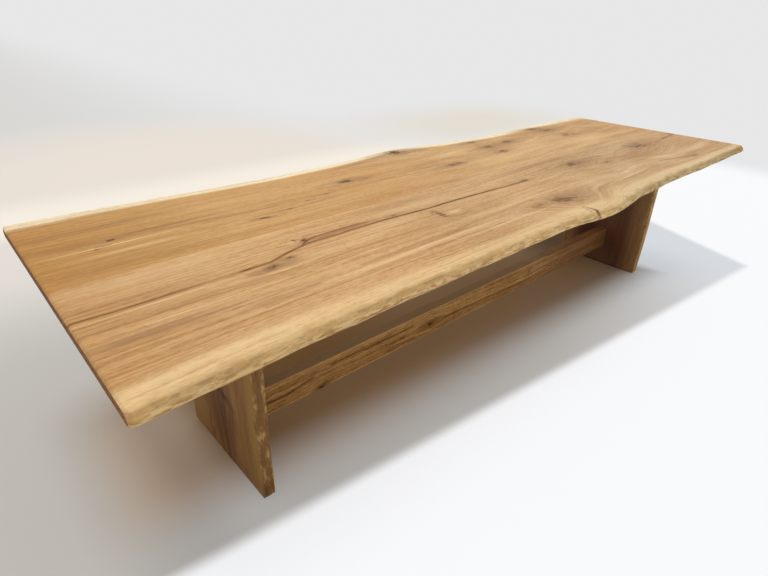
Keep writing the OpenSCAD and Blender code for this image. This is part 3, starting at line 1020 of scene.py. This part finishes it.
def with_ends(wood, colour, normal, facing):
    """The colour with painted shade greying the upward face of the stretcher, and with the rounded and sawn
    ends.
    """
    net, look = wood.net, wood.look
    upper_face_shade = net.fade(net.dot(normal, UP), 0.75, 0.98, 0.0, look["upper_shade"])
    colour = net.mix(net.both(upper_face_shade, net.fade(wood.along, 1.0, 0.2, 0.15, 1.0)), colour, UPPER_FACE_SHADE)
    colour = net.mix(net.fade(facing, 0.15, 0.6, 0.0, 0.12), colour, look["stain"])
    return net.mix(net.fade(facing, 0.93, 0.99), colour, net.ramp(wood.end, *END_GRAIN))


def surface_height(wood):
    """Height of the fine relief: lines and pores on the planed faces, fibres on the wane."""
    net = wood.net
    pores = net.fade(wood.pore, 0.56, 0.72, 0.0, -PORE_DEPTH)
    planed = net.math("MULTIPLY_ADD", wood.line, LINE_HEIGHT, pores)
    return net.math("ADD", planed, net.both(net.both(wood.fibre, WANE_HEIGHT), wood.wane))


def oak(name, look, end_axis):
    """Oiled oak with grain, knots, cracks, sapwood, wane and end grain; end_axis runs along the plank."""
    material = bpy.data.materials.new(name)
    net = Net(material)
    wood = Wood(net, look)
    normal = net.add("NewGeometry").outputs["True Normal"]
    facing = net.math("ABSOLUTE", net.dot(normal, end_axis))
    figure = wood_figure(wood)
    colour = planed_colour(wood, figure)
    for lay_over in (with_wane, with_streaks_stains_and_painted_light, with_knots, with_cracks):
        colour = lay_over(wood, colour)
    colour = with_ends(wood, colour, normal, facing)
    rough = net.math("MULTIPLY_ADD", wood.wane, 0.15, net.fade(figure, 0.2, 0.9, 0.66, 0.54))
    rough = net.math("MAXIMUM", rough, net.fade(facing, 0.6, 0.95))
    bump = net.add("Bump", {"Strength": BUMP_STRENGTH, "Distance": 1.0, "Height": surface_height(wood)})
    shader = net.add(
        "BsdfPrincipled",
        {
            "Base Color": colour,
            "Roughness": rough,
            "Specular IOR Level": OIL_GLOSS,
            "Normal": bump.outputs[0],
        },
    )
    net.add("OutputMaterial", {"Surface": shader.outputs[0]})
    return material


# Stage


# Colours of the floor: lit, then painted shade: shaded, near the table, warm at the left, under the table and
# darkest in the gap at its far end
FLOOR_LIT = srgb(250, 252, 255)
FLOOR_SHADE = srgb(192, 189, 183)
SHADE_NEAR_TABLE = srgb(194, 197, 200)
WARM_SHADE_LEFT = srgb(222, 202, 180)
SHADE_UNDER_TABLE = srgb(170, 138, 100)
SHADE_UNDER_TABLE_LEFT = srgb(153, 118, 70)
SHADE_IN_GAP = srgb(104, 74, 38)
FLOOR_ROUGHNESS = 0.6
FLOOR_GLOSS = 0.1
# Painted light of the floor where it is looked at, and its shares: a fill glowing over the painted shade near
# the table, bluer at the right, and a glow whitening the lit floor
FILL = srgb(203, 200, 196)
FILL_RIGHT = srgb(221, 226, 232)
FILL_LIT = srgb(249, 250, 252)
FILL_SHARE = 0.5
FILL_SHARE_RIGHT = 0.75
FILL_LIT_SHARE = 0.85
# Colours of the backdrop: plain, darker at the left, a painted warm glow round a place behind the table with
# its reach, a painted glow band behind the table and a warmer tone beyond
BACKDROP = srgb(231, 231, 232)
BACKDROP_LEFT = srgb(216, 215, 212)
BACKDROP_WARM_GLOW = srgb(235, 225, 214)
BACKDROP_BEYOND = srgb(228, 222, 211)
GLOW = srgb(246, 239, 226)
WARM_GLOW_PLACE = (0.0, 3.4, 0.0)
WARM_GLOW_REACH = (3.6, 0.8)
# Corner of the painted shadow on the floor, directions out of it to the front and the right, half widths of
# its borders
SHADE_CORNER = (1.922, -0.672, 0.0)
SHADE_FRONT = (-0.1003, -0.9950, 0.0)
SHADE_RIGHT = (0.921, -0.390, 0.0)
SHADE_FRONT_BORDER = 0.035
SHADE_RIGHT_BORDER = 0.05
# Zones of painted shade, painted light and backdrop: fades along x, y or the slant, which is y and a share of
# x, by their start and full place
SLANT = 0.06
NEAR_SHADE_AND_FILL_ZONE = (("slant", -0.07, -0.37), ("x", -1.85, -1.25))
# This zone carries the painted shade and fill near the table on to its right end
RIGHT_ZONE = (("x", 1.27, 1.45),)
WARM_SHADE_ZONE = (("x", -1.72, -1.44), ("x", 0.5, -0.5), ("y", 0.75, 0.25), ("y", -0.3, 0.0))
UNDER_SHADE_ZONE = (("x", -1.36, -1.16), ("x", 1.50, 1.15), ("y", -0.42, 0.02), ("y", 1.0, 0.6))
UNDER_LEFT_SHADE_ZONE = (("x", 0.0, -0.7), ("y", 0.15, 0.26))
GAP_SHADE_ZONE = (("x", 0.9, 1.32), ("x", 1.8, 1.6), ("y", 0.1, 0.24), ("y", 0.75, 0.5))
FILL_RIGHT_ZONE = (("x", 0.6, 1.8),)
FILL_RUN = (-0.4, 1.4)
WALL_ZONE = (("x", -1.2, 3.2),)
GLOW_ZONE = (("y", 3.5, 2.85), ("y", 2.4, 2.7), ("x", 3.5, 1.5))
BEYOND_ZONE = (("x", 2.0, 3.8), ("x", 6.8, 4.4), ("y", 5.4, 3.4), ("y", 2.2, 3.2))
FAR_RIGHT_ZONE = (("x", 4.2, 5.0),)
FAR_BACK_ZONE = (("y", 0.9, 2.0),)

FLOOR_HALF = 40.0
SKY_STRENGTH = 0.54
KEY_STRENGTH = 1.54
KEY_ANGLE = math.radians(26)
KEY_TRAVEL = Vector((0.06, 0.06, -1.0))

CAMERA_PLACE = Vector((-1.75916, -1.30251, 1.35251))
CAMERA_AIM = Vector((-0.95765, -0.43667, 0.72))
CAMERA_ROLL = math.radians(1.7873)
CAMERA_LENS = 24.3075
CAMERA_SENSOR = 36.0
CAMERA_CLIP_END = 200.0


def direct_view(net):
    """1 for rays that show the backdrop: from the camera, or by way of a gloss or a glass."""
    path = net.add("LightPath").outputs
    seen = net.math("MAXIMUM", path["Is Camera Ray"], path["Is Glossy Ray"])
    return net.math("MAXIMUM", seen, path["Is Transmission Ray"])


class Ground:
    """Places on the floor and the zones painted on it."""

    def __init__(self, net):
        self.net = net
        self.place = net.add("NewGeometry").outputs["Position"]
        x, y, _ = net.split(self.place)
        self.parts = {"x": x, "y": y, "slant": net.math("MULTIPLY_ADD", x, SLANT, y)}

    def zone(self, fades):
        """Share of a zone, the product of its fades."""
        shares = [self.net.fade(self.parts[part], start, end) for part, start, end in fades]
        whole = shares[0]
        for share in shares[1:]:
            whole = self.net.both(whole, share)
        return whole

    def lit(self):
        """Share of the floor that lies outside the painted shadow, in front of it and right of it."""
        net = self.net
        from_corner = net.vector("SUBTRACT", self.place, SHADE_CORNER)
        front = net.fade(net.dot(from_corner, SHADE_FRONT), -SHADE_FRONT_BORDER, SHADE_FRONT_BORDER)
        right = net.fade(net.dot(from_corner, SHADE_RIGHT), -SHADE_RIGHT_BORDER, SHADE_RIGHT_BORDER)
        return net.math("MAXIMUM", front, right)


def floor_shade(ground, near, gap):
    """Painted shade of the floor beside and under the table."""
    net = ground.net
    shade = net.mix(near, FLOOR_SHADE, SHADE_NEAR_TABLE)
    shade = net.mix(ground.zone(WARM_SHADE_ZONE), shade, WARM_SHADE_LEFT)
    under = net.mix(ground.zone(UNDER_LEFT_SHADE_ZONE), SHADE_UNDER_TABLE, SHADE_UNDER_TABLE_LEFT)
    shade = net.mix(ground.zone(UNDER_SHADE_ZONE), shade, under)
    return net.mix(gap, shade, SHADE_IN_GAP)


def backdrop_colour(ground):
    """Colour of the far floor, where it fades into the backdrop, with painted glows near the table."""
    net = ground.net
    wall = net.mix(ground.zone(WALL_ZONE), BACKDROP_LEFT, BACKDROP)
    from_warm = net.length(net.vector("SUBTRACT", ground.place, WARM_GLOW_PLACE))
    wall = net.mix(net.fade(from_warm, *WARM_GLOW_REACH), wall, BACKDROP_WARM_GLOW)
    wall = net.mix(ground.zone(GLOW_ZONE), wall, GLOW)
    return net.mix(ground.zone(BEYOND_ZONE), wall, BACKDROP_BEYOND)


def floor_material():
    """A pale floor, greyer with painted shade beside the table and brightened with painted light where it is
    looked at, that fades into the backdrop far off.
    """
    material = bpy.data.materials.new("pale_floor")
    net = Net(material)
    ground = Ground(net)
    lit = ground.lit()
    near = net.math("MAXIMUM", ground.zone(NEAR_SHADE_AND_FILL_ZONE), ground.zone(RIGHT_ZONE))
    gap = ground.zone(GAP_SHADE_ZONE)
    seen = direct_view(net)
    colour = net.mix(lit, floor_shade(ground, near, gap), FLOOR_LIT)
    shader = net.add(
        "BsdfPrincipled",
        {"Base Color": colour, "Roughness": FLOOR_ROUGHNESS, "Specular IOR Level": FLOOR_GLOSS},
    ).outputs[0]

    # Painted fill light: a glow over the painted shade near the table, where it is looked at
    filled = net.both(net.both(near, net.math("SUBTRACT", 1.0, lit)), seen)
    filled = net.both(filled, net.math("SUBTRACT", 1.0, gap))
    filled = net.both(filled, net.fade(ground.parts["x"], *FILL_RUN, FILL_SHARE, FILL_SHARE_RIGHT))
    fill = net.mix(ground.zone(FILL_RIGHT_ZONE), FILL, FILL_RIGHT)
    shader = net.mix_shaders(filled, shader, net.emission(fill))
    # Painted light: a glow that whitens the lit floor where it is looked at
    brightened = net.both(net.both(lit, FILL_LIT_SHARE), seen)
    shader = net.mix_shaders(brightened, shader, net.emission(FILL_LIT))
    far = net.math("MAXIMUM", ground.zone(FAR_RIGHT_ZONE), ground.zone(FAR_BACK_ZONE))
    shader = net.mix_shaders(net.both(far, seen), shader, net.emission(backdrop_colour(ground)))
    net.add("OutputMaterial", {"Surface": shader})
    return material


def floor():
    """The floor that the table stands on."""
    mesh = bpy.data.meshes.new("floor")
    h = FLOOR_HALF
    mesh.from_pydata([(-h, -h, 0), (h, -h, 0), (h, h, 0), (-h, h, 0)], [], [(0, 1, 2, 3)])
    plane = bpy.data.objects.new("floor", mesh)
    bpy.context.scene.collection.objects.link(plane)
    mesh.materials.append(floor_material())


def lights():
    """An even soft sky and a broad soft light from straight above."""
    world = bpy.data.worlds.new("studio")
    bpy.context.scene.world = world
    net = Net(world)
    sky = net.add("Background", {"Color": (1.0, 1.0, 1.0, 1.0), "Strength": SKY_STRENGTH})
    shown = net.add("Background", {"Color": BACKDROP, "Strength": 1.0})
    shader = net.mix_shaders(direct_view(net), sky.outputs[0], shown.outputs[0])
    net.add("OutputWorld", {"Surface": shader})

    key = bpy.data.lights.new("soft_key", "SUN")
    key.energy = KEY_STRENGTH
    key.angle = KEY_ANGLE
    lamp = bpy.data.objects.new("soft_key", key)
    lamp.rotation_euler = KEY_TRAVEL.to_track_quat("-Z", "Y").to_euler()
    bpy.context.scene.collection.objects.link(lamp)


def camera():
    """The camera at the photograph's viewing angle."""
    data = bpy.data.cameras.new("camera")
    data.lens = CAMERA_LENS
    data.sensor_width = CAMERA_SENSOR
    data.sensor_fit = "HORIZONTAL"
    data.clip_end = CAMERA_CLIP_END
    view = bpy.data.objects.new("camera", data)
    turn = (CAMERA_AIM - CAMERA_PLACE).to_track_quat("-Z", "Y")
    view.location = CAMERA_PLACE
    view.rotation_euler = (turn @ Quaternion((0, 0, 1), CAMERA_ROLL)).to_euler()
    bpy.context.scene.collection.objects.link(view)
    bpy.context.scene.camera = view


# The table


def dress(piece, material):
    piece.data.materials.append(material)


front_marks = marks(
    FRONT_KNOTS, FRONT_STAINS, FRONT_STREAKS, (HEART_CRACK,), FRONT_CHECKS, FRONT_SWERVES
)
back_marks = marks(BACK_KNOTS, BACK_STAINS, BACK_STREAKS, (), BACK_CHECKS, BACK_SWERVES)
left_marks = marks(LEFT_LEG_KNOTS, LEFT_LEG_STAINS, LEFT_LEG_STREAKS_AND_SHADE, (), LEFT_LEG_CHECKS)
right_marks = marks(RIGHT_LEG_KNOTS, RIGHT_LEG_STAINS, RIGHT_LEG_STREAKS)
rail_marks = marks(STRETCHER_KNOTS, STRETCHER_STAINS, STRETCHER_SHADE_AND_HIGHLIGHTS, (), STRETCHER_CHECKS)

front = top_plank("front_plank", "top_plank_front", -1, front_marks, FRONT_SAP, seed=11)
back = top_plank("back_plank", "top_plank_back", 1, back_marks, BACK_SAP, seed=31)
left = leg_plank("left_leg", "leg_plank_left", left_marks, seed=41)
right = leg_plank("right_leg", "leg_plank_right", right_marks, seed=51)
rail = stretcher_plank("stretcher", "stretcher_plank", rail_marks)

dress(front, oak("oak_top_front", FRONT_LOOK, ALONG_X))
dress(back, oak("oak_top_back", BACK_LOOK, ALONG_X))
dress(left, oak("oak_leg_left_shaded", LEG_SHADED_LOOK, UP))
dress(right, oak("oak_leg_right_shaded_and_lit", RIGHT_LEG_SHADE_AND_LIGHT_LOOK, UP))
dress(rail, oak("oak_stretcher", STRETCHER_LOOK, ALONG_X))

floor()
lights()
camera()
bpy.context.scene.view_settings.view_transform = "Standard"
